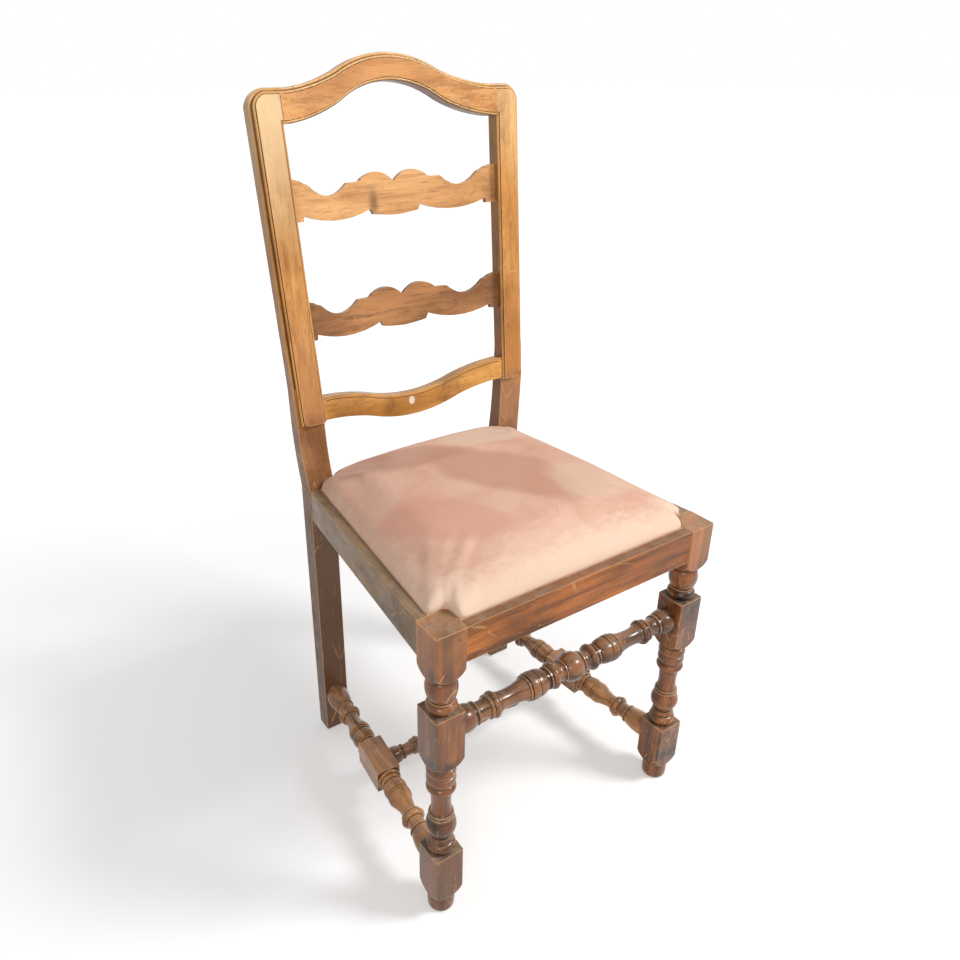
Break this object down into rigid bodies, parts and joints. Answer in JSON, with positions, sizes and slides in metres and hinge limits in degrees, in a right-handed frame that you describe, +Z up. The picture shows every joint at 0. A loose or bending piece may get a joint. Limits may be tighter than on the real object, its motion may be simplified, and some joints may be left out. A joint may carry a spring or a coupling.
{
  "type": "ladder-back dining chair",
  "caption": "Worn walnut-coloured dining chair with turned front legs and stretchers, a moulded arched back with shaped slats, and a dusty pink velvet drop-in seat.",
  "frame": {"origin": "on the floor under the middle of the chair's footprint", "axes": "+Z up, -Y out of the chair's front, +X to its right as seen from the front"},
  "size_m": [0.44, 0.47, 1.0114],
  "materials": {
    "back_wood": "satin",
    "rail_wood": "satin",
    "leg_wood": "glossy",
    "bare_wood": "matte",
    "plywood": "matte",
    "velvet": "matte",
    "padding": "matte",
    "screw_steel": "satin"
  },
  "bodies": {
    "root": {"front_leg_left": "leg_wood", "front_leg_right": "leg_wood", "rear_leg_left": "back_wood", "rear_leg_right": "back_wood", "front_seat_rail": "rail_wood", "rear_seat_rail": "rail_wood", "left_seat_rail": "rail_wood", "right_seat_rail": "rail_wood", "crest_rail": "back_wood", "upper_slat": "back_wood", "lower_slat": "back_wood", "lower_back_rail": "back_wood", "front_stretcher": "leg_wood", "left_side_stretcher": "leg_wood", "right_side_stretcher": "leg_wood", "cross_stretcher": "leg_wood", "front_left_corner_block": "bare_wood", "front_right_corner_block": "bare_wood", "rear_left_corner_block": "bare_wood", "rear_right_corner_block": "bare_wood", "corner_block_screws": "screw_steel", "seat_board": "plywood", "seat_padding": "padding", "seat_cover": "velvet", "seat_tacks": "screw_steel"}
  },
  "joints": []
}
